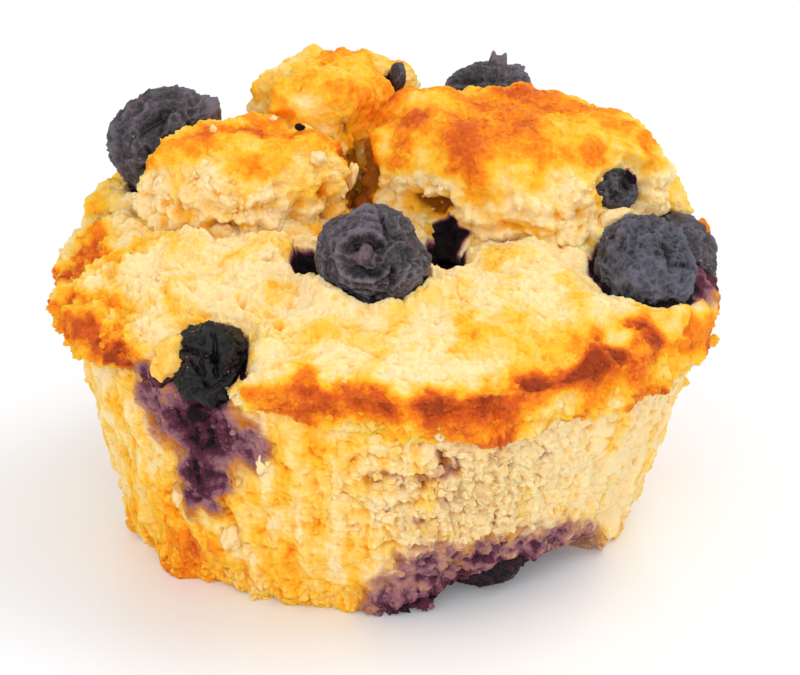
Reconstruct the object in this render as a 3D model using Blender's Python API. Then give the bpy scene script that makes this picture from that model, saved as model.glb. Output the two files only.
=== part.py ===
"""A blueberry muffin baked without a paper case, standing on its flat base.

The cake is one solid: a tapered cup with a browned lip, a domed crown over it, and the risen plates of
dough that the crown split into. Every berry that shows is a solid of its own, set in a socket.
The muffin's front is -Y and its base lies on the plane z = 0. Lengths are in millimetres until MM
scales them.
"""

import math

import bpy
import numpy as np
from mathutils import Matrix, Vector

MM = 0.001
GAP = 0.32              # clearance all round a berry in its socket

# The cup, shaped by the tin.
BASE_RADIUS = 28.1
NECK_RADIUS = 35.0      # just under the lip
LIP_HEIGHT = 22.9       # underside of the lip above the base
EDGE_ROUND = 1.3        # rounding where the wall meets the base
BROKEN_LIFT = 3.3       # height of the gap where the base's edge crumbled away
BASE_MIDDLE = -0.8      # X of the base's middle; the origin is under the middle of the whole
TOP_DRIFT = 1.3         # how far the cup leans towards +X by the height of the lip

# The crown, which rose and spread over the tin's edge.
CREST_RADIUS = 37.4     # widest line of the lip
CREST_HEIGHT = 28.4
DOME_HEIGHT = 37.8      # the dough between the plates, at the middle
DOME_POWER = 0.6        # how soon the dome flattens above the crest

BEARINGS = 60           # points round the cake
WALL_STEPS = 5
DOME_STEPS = 9


def swell(angle, at, width, sharp=2):
    """A hump of height 1 at the bearing `at`, fading over `width`; both are in degrees."""
    apart = (np.degrees(angle) - at + 180) % 360 - 180
    return np.exp(-(np.abs(apart / width) ** sharp))


def uneven(angle, seed, size, slowest=3, waves=7):
    """The wander of a hand-filled edge: seeded cosines, of about `size` in all."""
    random = np.random.default_rng(seed)
    total = np.zeros_like(angle)
    for k in range(slowest, slowest + waves):
        total += random.uniform(0.4, 1.0) * np.cos(k * angle + random.uniform(0, math.tau))
    return total * size / math.sqrt(waves)


def cake_rows():
    """The cake's outside as rings of points, from the top of the dome down to the middle of the base."""
    angle = np.linspace(0, math.tau, BEARINGS, endpoint=False)
    broken = swell(angle, -52, 25, sharp=14)  # the base's edge crumbled away over the bottom berry
    hollow = swell(angle, -124, 9)          # the lip parted over the berry in the left side
    back = 0.5 + 0.5 * np.sin(angle)
    crest_radius = CREST_RADIUS + uneven(angle, 3, 0.45) - 1.6 * hollow + 1.4 * swell(angle, -170, 15)
    crest_height = CREST_HEIGHT + uneven(angle, 5, 0.35) + 1.6 * swell(angle, 180, 45)
    lip_rise = 3.0 * swell(angle, -128, 28) + 1.5 * swell(angle, 150, 60)
    lip_height = LIP_HEIGHT + uneven(angle, 7, 0.5) + lip_rise
    base_radius = BASE_RADIUS + uneven(angle, 9, 0.25) - 2.6 * broken - 0.9 * swell(angle, -125, 25)
    lift = BROKEN_LIFT * broken
    neck_radius = NECK_RADIUS + uneven(angle, 11, 0.25)

    rings = []

    def ring(radius, height):
        height = np.broadcast_to(height, angle.shape)
        middle = BASE_MIDDLE + TOP_DRIFT * np.minimum(height / LIP_HEIGHT, 1)
        rings.append(np.stack([radius * np.cos(angle) + middle, radius * np.sin(angle), height], axis=1))

    # The dome, flatter at the front and steep-shouldered at the back.
    fullness = 1.3 + 4.2 * back**1.3 + 2.6 * swell(angle, 170, 30) + 2.2 * swell(angle, 14, 22)
    for q in np.linspace(0, 1, DOME_STEPS + 1)[:-1] ** 0.75:
        rise = (1 - q ** fullness) ** DOME_POWER
        ring(crest_radius * q, crest_height + (DOME_HEIGHT - crest_height) * rise)
    ring(crest_radius, crest_height)
    ring(crest_radius - 0.4, crest_height * 0.45 + lip_height * 0.55)
    ring(neck_radius + 0.9, lip_height + 0.2)
    # The wall, a little convex between the lip and the base.
    for t in np.linspace(1, 0, WALL_STEPS + 1)[:-1]:
        low = EDGE_ROUND + lift
        height = low + (lip_height - 1.2 - low) * t
        ring(base_radius + (neck_radius - base_radius) * (height / lip_height) ** 0.8, height)
    ring(base_radius, EDGE_ROUND + lift)
    ring(base_radius - 1.2, lift)
    ring(base_radius - 7.6, 0.0)
    ring(0.0 * angle, 0.0)
    return np.array(rings) * MM


def lump_rows(centre, radii, height, turn, seed, bearings, steps, square=0.5, tilt=(0.0, 0.0)):
    """Rings down a risen plate of dough, from the middle of its top to the middle of its hidden foot.

    It is an ellipsoid squared off towards a slab by the power `square`, with a wandering outline.
    """
    angle = np.linspace(0, math.tau, bearings, endpoint=False)
    outline = 1 + uneven(angle, seed, 0.09, slowest=2, waves=6)
    rings = []
    for down in np.linspace(0, math.pi, steps + 1):
        reach = abs(math.sin(down)) ** square * outline
        level = math.copysign(abs(math.cos(down)) ** square, math.cos(down)) * height
        x, y = radii[0] * reach * np.cos(angle), radii[1] * reach * np.sin(angle)
        z = level + tilt[0] * x + tilt[1] * y
        rings.append(np.stack([x, y, z], axis=1))
    turned = np.array(rings) @ np.array(Matrix.Rotation(math.radians(turn), 3, "Z")).T
    return (turned + centre) * MM


def berry_rows(radii, seed, crater=0.3, grow=0.0, bearings=18, steps=11):
    """Rings down a baked berry, from its calyx to its stalk end, about its own middle.

    The calyx is a crater with a raised rim, and the skin has sunk in a few broad folds.
    """
    random = np.random.default_rng(seed)
    angle = np.linspace(0, math.tau, bearings, endpoint=False)
    rings = []
    for down in np.linspace(0, math.pi, steps + 1):
        girth = math.sin(down)
        radius = 1 - crater * math.exp(-((down / 0.34) ** 2)) + 0.06 * math.exp(-(((down - 0.6) / 0.2) ** 2))
        folds = sum(
            0.03 * girth**2 * np.cos(k * angle + phase + 1.3 * down)
            for k, phase in zip((2, 3, 5), random.uniform(0, math.tau, 3))
        )
        radius = (radius + folds)[:, None]
        level = np.full(bearings, math.cos(down))
        direction = np.stack([girth * np.cos(angle), girth * np.sin(angle), level], axis=1)
        rings.append(direction * radius * radii + direction * grow)
    return np.array(rings) * MM


def solid(name, rows, material, location=(0, 0, 0), facing=(0, 0, 1)):
    """An object closed over rings of points, whose first and last ring are each a single point."""
    around = rows.shape[1]
    inner = rows[1:-1].reshape(-1, 3)
    points = [rows[0, 0], *inner, rows[-1, 0]]
    last = len(points) - 1
    faces = []
    for j in range(around):
        k = (j + 1) % around
        faces.append((0, 1 + j, 1 + k))
        for i in range(len(rows) - 3):
            upper, lower = 1 + i * around, 1 + (i + 1) * around
            faces.append((upper + j, lower + j, lower + k, upper + k))
        faces.append((last, last - around + k, last - around + j))
    mesh = bpy.data.meshes.new(name)
    mesh.from_pydata([tuple(p) for p in points], [], faces)
    mesh.shade_smooth()
    mesh.materials.append(material)
    item = bpy.data.objects.new(name, mesh)
    item.location = [v * MM for v in location]
    item.rotation_mode = "QUATERNION"
    item.rotation_quaternion = Vector((0, 0, 1)).rotation_difference(Vector(facing))
    bpy.context.scene.collection.objects.link(item)
    return item


def combine(item, tool, operation):
    """Adds a hidden tool solid to an item, or cuts it away."""
    tool.hide_render = True
    tool.display_type = "WIRE"
    step = item.modifiers.new(f"{operation.lower()}_{tool.name}", "BOOLEAN")
    step.operation = operation
    step.solver = "EXACT"
    step.object = tool


def finish(name, colour, roughness):
    """A plain Principled material."""
    material = bpy.data.materials.new(name)
    material.use_nodes = True
    shader = material.node_tree.nodes["Principled BSDF"]
    shader.inputs["Base Color"].default_value = (*colour, 1)
    shader.inputs["Roughness"].default_value = roughness
    shader.inputs["Metallic"].default_value = 0
    return material


# Risen plates: centre, radii, height, turn in degrees, seed, points round, rings, tilt of the top.
PLATES = {
    "left_plate": ((-15.6, -0.4, 35.6), (12.7, 8.4), 11.4, -6, 21, 22, 8, (0.03, 0.02)),
    "right_plate": ((13.8, 2.4, 35.4), (16.9, 12.2), 13.0, -7, 22, 26, 8, (-0.04, 0.05)),
    "middle_lump": ((-6.4, 9.2, 40.0), (7.8, 7.0), 11.6, 10, 23, 16, 8, (0.0, 0.05)),
    "back_lump": ((-5.2, 15.6, 39.0), (10.8, 8.6), 12.4, 0, 24, 18, 8, (0.0, -0.06)),
    "right_shoulder": ((27.8, 11.0, 33.0), (6.8, 8.4), 6.8, 20, 25, 14, 7, (-0.35, 0.0)),
    "left_shoulder": ((-27.0, 11.5, 31.0), (7.6, 10.0), 6.6, -20, 26, 14, 7, (0.2, 0.0)),
}

# Berries: middle, radii, the way the calyx faces, depth of the calyx crater, seed, points round, rings.
BERRIES = {
    "berry_centre": ((-1.2, -18.2, 37.85), (6.1, 6.0, 6.4), (-0.25, -0.85, 0.45), 0.26, 31, 18, 11),
    "berry_right": ((28.6, -11.4, 33.7), (6.0, 6.2, 5.4), (0.35, -0.75, 0.5), 0.10, 32, 18, 11),
    "berry_right_back": ((32.4, 1.4, 30.6), (5.0, 5.4, 5.8), (0.9, 0.2, 0.3), 0.12, 33, 16, 10),
    "berry_upper_left": ((-25.2, 6.4, 42.6), (6.8, 6.1, 6.2), (-0.6, -0.3, 0.7), 0.08, 34, 18, 11),
    "berry_top_back": ((12.6, 20.6, 44.8), (6.0, 5.4, 4.8), (-0.1, 0.1, 1.0), 0.2, 35, 16, 10),
    "berry_in_right_plate": ((25.0, -2.4, 40.6), (3.2, 3.2, 3.6), (0.7, -0.7, 0.1), 0.05, 36, 12, 8),
    "berry_in_back_lump": ((1.5, 11.2, 49.2), (2.0, 1.6, 0.6), (0.9, -0.4, 0.2), 0.0, 37, 12, 8),
    "berry_left_side": ((-18.4, -26.4, 28.8), (4.6, 4.9, 4.8), (-0.5, -0.85, 0.1), 0.16, 38, 16, 10),
    "berry_bottom": ((10.8, -20.4, 3.3), (4.9, 4.4, 3.1), (0.0, -0.2, 1.0), 0.05, 39, 16, 9),
}


def build():
    crumb = finish("golden_crumb", (0.83, 0.56, 0.24), 0.75)
    skin = finish("berry_skin", (0.035, 0.03, 0.06), 0.45)
    cake = solid("cake", cake_rows(), crumb)
    for name, (centre, radii, height, turn, seed, bearings, steps, tilt) in PLATES.items():
        rows = lump_rows(centre, radii, height, turn, seed, bearings, steps, tilt=tilt)
        combine(cake, solid(name, rows, crumb), "UNION")
    for name, (centre, radii, facing, crater, seed, bearings, steps) in BERRIES.items():
        shape = {"radii": radii, "seed": seed, "crater": crater, "bearings": bearings, "steps": steps}
        solid(name, berry_rows(**shape), skin, centre, facing)
        socket = solid(name + "_socket", berry_rows(grow=GAP, **shape), crumb, centre, facing)
        combine(cake, socket, "DIFFERENCE")


for leftover in list(bpy.data.objects):
    bpy.data.objects.remove(leftover)
build()
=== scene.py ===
# %% [markdown]
# # A blueberry muffin
# The imported solids are a plain cake and nine plain berries. Here they get their real surface: browned skin,
# torn crumb, juice stains, hollows with painted shade, wrinkled berries and loose crumbs. Every shape is worked
# out in millimetres as a whole grid of points, and is put into the mesh in metres. The front of the muffin faces -Y.

# %% Load the imported model and keep its box
import math

import bpy
import numpy as np
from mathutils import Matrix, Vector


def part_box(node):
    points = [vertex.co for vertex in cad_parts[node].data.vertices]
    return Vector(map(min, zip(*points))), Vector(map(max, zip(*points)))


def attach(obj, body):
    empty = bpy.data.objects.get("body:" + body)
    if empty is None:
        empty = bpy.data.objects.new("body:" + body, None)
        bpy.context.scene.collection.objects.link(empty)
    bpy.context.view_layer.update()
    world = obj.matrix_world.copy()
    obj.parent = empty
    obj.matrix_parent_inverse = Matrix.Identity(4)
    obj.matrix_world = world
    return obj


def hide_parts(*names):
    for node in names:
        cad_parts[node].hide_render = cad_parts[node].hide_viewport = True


MM = 0.001
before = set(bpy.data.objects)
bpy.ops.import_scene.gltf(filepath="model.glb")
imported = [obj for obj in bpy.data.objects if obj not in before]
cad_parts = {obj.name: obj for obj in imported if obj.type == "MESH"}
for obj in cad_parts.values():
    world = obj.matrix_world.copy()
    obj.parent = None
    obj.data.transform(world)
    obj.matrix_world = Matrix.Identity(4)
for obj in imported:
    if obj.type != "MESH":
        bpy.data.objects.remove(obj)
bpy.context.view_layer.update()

# %% [markdown]
# ## Camera, floor and light
# The muffin stands on a glossy white table in a very bright, soft room. A camera with a long lens looks
# slightly down on it. The whole sky is a soft pale dome, and one large window to the right and behind gives
# the shapes their direction.

# %% Camera
CAMERA_RISE = math.radians(21)
CAMERA_DISTANCE = 0.38
CAMERA_AIM = (1.73, 0.0, 21.4)
CAMERA_LENS = 148.8

camera = bpy.data.objects.new("camera", bpy.data.cameras.new("camera"))
bpy.context.scene.collection.objects.link(camera)
camera.data.lens = CAMERA_LENS
camera.data.clip_start = 0.01
camera.rotation_euler = (math.pi / 2 - CAMERA_RISE, 0, 0)
camera.location = (
    CAMERA_AIM[0] * MM,
    CAMERA_AIM[1] * MM - CAMERA_DISTANCE * math.cos(CAMERA_RISE),
    CAMERA_AIM[2] * MM + CAMERA_DISTANCE * math.sin(CAMERA_RISE),
)
bpy.context.scene.camera = camera

# %% Light
SKY_STRENGTH = 0.92
WINDOW_POWER = 0.9
FRONT_POWER = 3.0
TABLE_GLOW = 0.1


def window(name, power, size, place, aim):
    """A square soft light of that size and power, at place, turned so that it shines at aim."""
    light = bpy.data.lights.new(name, "AREA")
    light.energy = power
    light.size = size
    lamp = bpy.data.objects.new(name, light)
    bpy.context.scene.collection.objects.link(lamp)
    toward = np.array(aim, float) - np.array(place, float)
    flat = math.hypot(toward[0], toward[1])
    lamp.location = place
    lamp.rotation_euler = (math.atan2(flat, -toward[2]), 0, math.atan2(toward[1], toward[0]) - math.pi / 2)
    return lamp


world = bpy.data.worlds.new("bright room")
world.use_nodes = True
world.node_tree.nodes["Background"].inputs["Color"].default_value = (0.99, 0.99, 0.985, 1.0)
world.node_tree.nodes["Background"].inputs["Strength"].default_value = SKY_STRENGTH
bpy.context.scene.world = world
bpy.context.scene.view_settings.view_transform = "Standard"
window("window", WINDOW_POWER, 0.35, (0.30, 0.05, 0.50), (0.0, 0.0, 0.02))
window("front", FRONT_POWER, 0.7, (-0.10, -0.80, 0.32), (0.0, 0.0, 0.02))

# %% [markdown]
# ## Writing a finish
# A finish is a node tree. Sums of values are written as ordinary expressions, because a wire knows how to
# turn `+`, `-`, `*` and `/` into Math nodes. Every other node comes from the one method `node`.


# %% Wires and finishes
class Wire:
    """One output of a finish's nodes. Sums, products and differences with it add a Math node."""

    def __init__(self, finish, socket):
        self.finish = finish
        self.socket = socket

    def sum(self, operation, first, second):
        return self.finish.node("Math", {"operation": operation}, {0: first, 1: second})

    def __add__(self, other):
        return self.sum("ADD", self, other)

    def __radd__(self, other):
        return self.sum("ADD", other, self)

    def __sub__(self, other):
        return self.sum("SUBTRACT", self, other)

    def __rsub__(self, other):
        return self.sum("SUBTRACT", other, self)

    def __mul__(self, other):
        return self.sum("MULTIPLY", self, other)

    def __rmul__(self, other):
        return self.sum("MULTIPLY", other, self)


class Finish:
    """A material with one Principled shader. Its methods add nodes and return wires."""

    def __init__(self, name):
        self.material = bpy.data.materials.new(name)
        self.material.use_nodes = True
        self.tree = self.material.node_tree
        self.shader = self.tree.nodes["Principled BSDF"]
        self.place = self.node("TexCoord", output="Object")

    def node(self, kind, settings=None, sockets=None, output=0):
        """Adds a node of a type, applies its settings, then fills its sockets with values or wires."""
        made = self.tree.nodes.new("ShaderNode" + kind)
        for key, value in (settings or {}).items():
            setattr(made, key, value)
        for key, value in (sockets or {}).items():
            self.fill(made.inputs[key], value)
        return Wire(self, made.outputs[output])

    def fill(self, socket, value):
        """Links a wire to a socket, or sets the socket's own value."""
        if isinstance(value, Wire):
            self.tree.links.new(value.socket, socket)
        else:
            socket.default_value = value

    def mix(self, mask, first, second, blend="MIX"):
        """The first colour where the mask is 0 and the second where it is 1, or their product."""
        settings = {"data_type": "RGBA", "blend_type": blend}
        return self.node("Mix", settings, {0: mask, 6: first, 7: second}, output=2)

    def step(self, value, low, high):
        """0 below low and 1 above high, with a smooth rise between them."""
        settings = {"interpolation_type": "SMOOTHSTEP"}
        return self.node("MapRange", settings, {"Value": value, "From Min": low, "From Max": high})

    def noise(self, size, detail=3.0, rough=0.55):
        """Cloudy noise from 0 to 1 whose patches are about that many millimetres across."""
        sockets = {"Vector": self.place, "Scale": 1 / (size * MM), "Detail": detail, "Roughness": rough}
        return self.node("TexNoise", None, sockets)

    def grains(self, size):
        """Distance to the nearest of many scattered centres, that many millimetres apart."""
        return self.node("TexVoronoi", None, {"Vector": self.place, "Scale": 1 / (size * MM)})

    def attribute(self, name):
        """A value that the mesh carries at each vertex."""
        return self.node("Attribute", {"attribute_name": name}, output="Fac")

    def bump(self, height, depth, under=None):
        """A normal tilted by a height from 0 to 1 that stands for that many millimetres."""
        sockets = {"Height": height, "Distance": depth * MM}
        if under is not None:
            sockets["Normal"] = under
        return self.node("Bump", None, sockets)

    def set(self, **sockets):
        """Sets the Principled shader's sockets, whose names are given with _ for each space."""
        for key, value in sockets.items():
            self.fill(self.shader.inputs[key.replace("_", " ")], value)


def paint(red, green, blue):
    """A colour as a screen shows it, 0 to 255, turned into the linear values that a shader takes."""
    screen = np.array([red, green, blue]) / 255
    linear = np.where(screen <= 0.04045, screen / 12.92, ((screen + 0.055) / 1.055) ** 2.4)
    return (*[float(part) for part in linear], 1.0)


# %% [markdown]
# ## Noise
# Cake has no straight line anywhere. Two kinds of noise make nearly all of its surface: cloudy noise for
# swells and stains, and packed round grains for crumb. Both are worked out for whole arrays of points.

# %% Cloudy noise and packed grains
CORNERS = np.array([(i, j, k) for i in (0, 1) for j in (0, 1) for k in (0, 1)])
SLOPES = np.array(
    [(a, b, 0) for a in (-1, 1) for b in (-1, 1)]
    + [(a, 0, b) for a in (-1, 1) for b in (-1, 1)]
    + [(0, a, b) for a in (-1, 1) for b in (-1, 1)],
    float,
)
MASK_32 = 0xFFFFFFFF


def scatter(cells, seed):
    """A repeatable number from 0 to 1 for each whole-number cell: its indices times large odd numbers are
    mixed with exclusive-or, and the sum is shifted and multiplied twice."""
    mixed = cells[..., 0] * 73856093 ^ cells[..., 1] * 19349663 ^ cells[..., 2] * 83492791 ^ seed * 40503077
    mixed = ((mixed ^ (mixed >> 15)) & MASK_32) * 1274126177 & MASK_32
    mixed = ((mixed ^ (mixed >> 13)) & MASK_32) * 1103515245 & MASK_32
    return ((mixed ^ (mixed >> 16)) & 0xFFFF) / 0xFFFF


def ripple(points, size, seed):
    """Cloudy noise from about -1 to 1. Each corner of a lattice cell has a slope picked at random, and the
    eight slopes, each read at the point, are blended with the weight 6t^5 - 15t^4 + 10t^3."""
    place = points / size
    cell = np.floor(place).astype(np.int64)
    part = place - cell
    ease = part**3 * (part * (part * 6 - 15) + 10)
    total = np.zeros(points.shape[:-1])
    for corner in CORNERS:
        slope = SLOPES[(scatter(cell + corner, seed) * 11.99).astype(int)]
        weight = np.where(corner, ease, 1 - ease).prod(-1)
        total += weight * ((part - corner) * slope).sum(-1)
    return total * 1.3


def clouds(points, size, seed, layers=3):
    """Layers of cloudy noise, each half as large and half as strong as the one before."""
    return sum(ripple(points, size / 2**k, seed + 17 * k) / 2**k for k in range(layers))


def bend(points, size, amount, seed):
    """The points moved by cloudy noise along each axis, which hides the lattice under the grains."""
    moves = [ripple(points, size, seed + axis) for axis in range(3)]
    return points + amount * np.stack(moves, -1)


def grains(points, size, seed, reach=0.75, share=1.0):
    """Packed round grains, 0 to 1. Each lattice cell holds one centre, up to a quarter of a cell off its
    middle, and the value is the largest 1 - (distance / reach)^2 over the eight nearest centres. With a
    share below 1 only that part of the cells holds a grain, and its size varies."""
    place = points / size - 0.5
    cell = np.floor(place).astype(np.int64)
    height = np.zeros(points.shape[:-1])
    for corner in CORNERS:
        home = cell + corner
        off = np.stack([scatter(home, seed + axis) for axis in range(3)], -1) * 0.5 - 0.25
        apart = ((place - home - off) ** 2).sum(-1)
        radius = reach
        if share < 1:
            pick = scatter(home, seed + 3)
            radius = reach * np.where(pick < share, 0.55 + 0.45 * pick / share, 1e-3)
        height = np.maximum(height, 1 - apart / radius**2)
    return height


# %% Soft masks
def step(value, low, high):
    """0 below low and 1 above high, with the smooth rise 3t^2 - 2t^3 between them."""
    part = np.clip((value - low) / (high - low), 0, 1)
    return part * part * (3 - 2 * part)


def near(points, spot, size, sharp=2):
    """1 at the spot, falling to 0 round it as exp(-(distance / size)^sharp)."""
    apart = (((points - np.array(spot)) / np.array(size)) ** 2).sum(-1) ** 0.5
    return np.exp(-(apart**sharp))


def swell(angle, at, width, sharp=2):
    """1 at a bearing in degrees, falling to 0 on both sides as exp(-(degrees away / width)^sharp)."""
    apart = (np.degrees(angle) - at + 180) % 360 - 180
    return np.exp(-(np.abs(apart / width) ** sharp))


def uneven(angle, seed, size, slowest=3, waves=7):
    """A closed wavy line round the muffin: a sum of cosines with random strengths and starts."""
    random = np.random.default_rng(seed)
    total = np.zeros_like(angle)
    for k in range(slowest, slowest + waves):
        total += random.uniform(0.4, 1.0) * np.cos(k * angle + random.uniform(0, math.tau))
    return total * size / math.sqrt(waves)


# %% [markdown]
# ## From grids to meshes
# A closed surface is a grid of rows and columns: the columns go round it, and the first and last rows each
# draw together into one point. Its own map, named OFBake, is the same grid laid flat. Values for the finish
# travel with the vertices.


# %% Grid to mesh
def ring_faces(rows, columns):
    """Corner numbers of the faces of a closed grid, and each corner's row and column. Triangles meet at the
    first and last points, and four-sided faces fill the rows between."""
    across = np.arange(columns)
    down = np.arange(rows - 3)[:, None]
    quads = [(down, across), (down + 1, across), (down + 1, across + 1), (down, across + 1)]
    quads = [np.broadcast_arrays(row, column) for row, column in quads]
    row = np.stack([part[0] for part in quads], -1).reshape(-1, 4) + 1
    column = np.stack([part[1] for part in quads], -1).reshape(-1, 4)
    top_row = np.tile([0, 1, 1], (columns, 1))
    top_column = np.stack([across + 0.5, across, across + 1], -1)
    end_row = np.tile([rows - 1, rows - 2, rows - 2], (columns, 1))
    end_column = np.stack([across + 0.5, across + 1, across], -1)
    rows_of = np.concatenate([top_row.ravel(), row.ravel(), end_row.ravel()])
    columns_of = np.concatenate([top_column.ravel(), column.ravel(), end_column.ravel()])
    sides = np.concatenate([np.full(columns, 3), np.full(len(row), 4), np.full(columns, 3)])
    return rows_of, columns_of, sides


def make_piece(name, grids, finish, values, seam=None, faceted=False):
    """Puts closed grids in millimetres into one mesh in metres, with its map, its values and its finish.
    Each grid has a square of its own in the map. The edges along the seam columns stay sharp, and those of
    a faceted piece all do."""
    grids = grids.reshape(-1, *grids.shape[-3:])
    count, rows, columns = grids.shape[:3]
    rows_of, columns_of, sides = ring_faces(rows, columns)
    number = 1 + (rows_of - 1) * columns + columns_of.astype(int) % columns
    number = np.where(rows_of == 0, 0, np.where(rows_of == rows - 1, 1 + (rows - 2) * columns, number))
    first = np.arange(count)[:, None] * (2 + (rows - 2) * columns)
    number = (first + number).ravel()
    sides = np.tile(sides, count)

    def flat(layer):
        layer = layer.reshape(count, rows, columns, -1)
        middle = layer[:, 1:-1].reshape(count, -1, layer.shape[-1])
        return np.concatenate([layer[:, 0, :1], middle, layer[:, -1, :1]], 1).reshape(-1, layer.shape[-1])

    points = flat(grids) * MM
    mesh = bpy.data.meshes.new(name)
    mesh.vertices.add(len(points))
    mesh.vertices.foreach_set("co", points.astype(np.float32).ravel())
    mesh.loops.add(len(number))
    mesh.loops.foreach_set("vertex_index", number.astype(np.int32))
    mesh.polygons.add(len(sides))
    mesh.polygons.foreach_set("loop_start", np.concatenate([[0], np.cumsum(sides)[:-1]]).astype(np.int32))
    mesh.update(calc_edges=True)
    (mesh.shade_flat if faceted else mesh.shade_smooth)()
    squares = math.ceil(math.sqrt(count))
    edge = 0.002 if count == 1 else 0.06
    square = np.arange(count)[:, None]
    across = (square % squares + edge + (1 - 2 * edge) * columns_of / columns) / squares
    up = (square // squares + 1 - edge - (1 - 2 * edge) * rows_of / (rows - 1)) / squares
    chart = mesh.uv_layers.new(name="OFBake")
    chart.uv.foreach_set("vector", np.stack([across, up], -1).astype(np.float32).ravel())
    for key, layer in values.items():
        layer = flat(layer).astype(np.float32).ravel()
        mesh.attributes.new(key, "FLOAT", "POINT").data.foreach_set("value", layer)
    if seam is not None:
        keep_sharp(mesh, columns, seam)
    mesh.materials.append(finish)
    piece = bpy.data.objects.new(name, mesh)
    bpy.context.scene.collection.objects.link(piece)
    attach(piece, "root")
    print(f"{name}: {int((sides - 2).sum())} triangles")
    return piece


def keep_sharp(mesh, columns, seam):
    """Marks the edges whose two ends lie in the same seam column as sharp."""
    ends = np.zeros(len(mesh.edges) * 2, np.int32)
    mesh.edges.foreach_get("vertices", ends)
    column = (ends.reshape(-1, 2) - 1) % columns
    column[ends.reshape(-1, 2) == 0] = -1
    sharp = (column[:, 0] == column[:, 1]) & np.isin(column[:, 0], seam)
    mesh.attributes.new("sharp_edge", "BOOLEAN", "EDGE").data.foreach_set("value", sharp)


def facing(surface, down, across, reach=1e-4):
    """Outward unit normals of a surface that is a function of two parameters, from its slopes: the step
    down the surface crossed with the step round it."""
    along = surface(down + reach, across) - surface(down - reach, across)
    round_it = surface(down, across + reach) - surface(down, across - reach)
    normal = np.cross(along, round_it)
    return normal / np.maximum(np.linalg.norm(normal, axis=-1, keepdims=True), 1e-12)


def even_rows(profile, count, fine=4000):
    """Parameters from 0 to 1 at which the points of a profile lie the same distance apart."""
    dense = np.linspace(0, 1, fine)
    line = profile(dense)
    length = np.concatenate([[0], np.cumsum(np.linalg.norm(np.diff(line, axis=0), axis=1))])
    return np.interp(np.linspace(0, length[-1], count), length, dense)


# %% [markdown]
# ## The cake's crumb and crust
# One finish covers all of the cake. Each vertex carries how brown it is baked, how far berry juice has
# stained it, with painted shadow in a few deep holes, and how deep it lies in a hollow. Pale crumb goes through
# gold and orange to brown as the baking rises. Hollows are painted a warmer yellow, a painted shade for the
# light that reaches them only after passing through cake, and the deepest are painted a deep brown shade.

# %% Cake finish
CREAM = paint(245, 218, 164)
PALE_GOLD = paint(247, 203, 106)
GOLD = paint(249, 186, 48)
ORANGE = paint(240, 140, 22)
RUSSET = paint(208, 92, 24)
DARK_CRUST = paint(150, 56, 18)
JUICE_TINT = paint(196, 160, 178)
JUICE_EDGE = paint(150, 104, 116)
JUICE = paint(92, 44, 62)
# Near black for the darkest juice, also used as painted shadow in a few deep holes.
DEEP_JUICE_AND_SHADE = paint(20, 9, 14)
# Painted shade: a warm yellow for hollows and a deep brown for the deepest cracks and gaps.
HOLLOW_TINT = paint(253, 214, 84)
DEEP_BROWN = paint(146, 80, 14)


def cake_finish(name, spread):
    """Baking colours picked by the bake value, broken up by noise of two sizes, then stained and shaded.
    The spread is the share of the light that travels inside the crumb before it leaves."""
    cake = Finish(name)
    fleck = cake.noise(0.5, 3.0, 0.6)
    patch = cake.noise(2.4, 3.0, 0.6)
    yolk = cake.noise(1.3, 2.0, 0.6)
    baked = cake.attribute("bake")
    grainy = 0.3 + 0.3 * cake.step(baked, 0.5, 0.8)
    bake = baked + (fleck - 0.5) * grainy + (patch - 0.5) * 0.42
    colour = cake.mix(cake.step(bake, 0.06, 0.28), CREAM, PALE_GOLD)
    colour = cake.mix(cake.step(bake, 0.24, 0.46), colour, GOLD)
    colour = cake.mix(cake.step(bake, 0.42, 0.66), colour, ORANGE)
    colour = cake.mix(cake.step(bake, 0.62, 0.92), colour, RUSSET)
    colour = cake.mix(cake.step(bake, 0.92, 1.3), colour, DARK_CRUST)
    # Painted shade: hollows are multiplied by a warm yellow, and the deepest turn a deep brown.
    hollow = cake.attribute("hollow")
    yellow = hollow + cake.step(yolk, 0.5, 0.68) * 0.3
    colour = cake.mix(yellow, colour, HOLLOW_TINT, "MULTIPLY")
    colour = cake.mix(cake.step(hollow, 1.1, 2.0), colour, DEEP_BROWN)
    # Juice stains run from a lavender tint to near black, and the same near black is painted shadow in a few deep
    # holes.
    stain_and_shade = cake.attribute("stain_and_shade") + (fleck - 0.5) * 0.3 * cake.step(cake.attribute("stain_and_shade"), 0.02, 0.3)
    colour = cake.mix(cake.step(stain_and_shade, 0.02, 0.3), colour, JUICE_TINT, "MULTIPLY")
    colour = cake.mix(cake.step(stain_and_shade, 0.25, 0.5), colour, JUICE_EDGE)
    colour = cake.mix(cake.step(stain_and_shade, 0.42, 0.66), colour, JUICE)
    colour = cake.mix(cake.step(stain_and_shade, 0.64, 0.95), colour, DEEP_JUICE_AND_SHADE)
    grit = cake.noise(0.22, 3.0, 0.6)
    height = grit * 0.6 + cake.grains(0.4) * 0.5
    cake.set(
        Base_Color=colour,
        Roughness=0.86 - 0.36 * cake.step(bake, 0.4, 0.8) - 0.2 * cake.step(stain_and_shade, 0.7, 0.95),
        Normal=cake.bump(height, 0.2),
        Subsurface_Weight=spread,
        Subsurface_Radius=(1.0, 0.6, 0.25),
        Subsurface_Scale=1.3 * MM,
        Specular_IOR_Level=0.12,
    )
    return cake.material


CAKE_FINISH = cake_finish("cake_crumb_and_crust", 0.6)
CRUMB_FINISH = cake_finish("loose_crumbs", 0.0)

# %% [markdown]
# ## Where the berries sit
# Each berry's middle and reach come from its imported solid. The cake dips into a dark, stained moat round
# every berry, so a narrow shadow always parts fruit and crumb.

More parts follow.
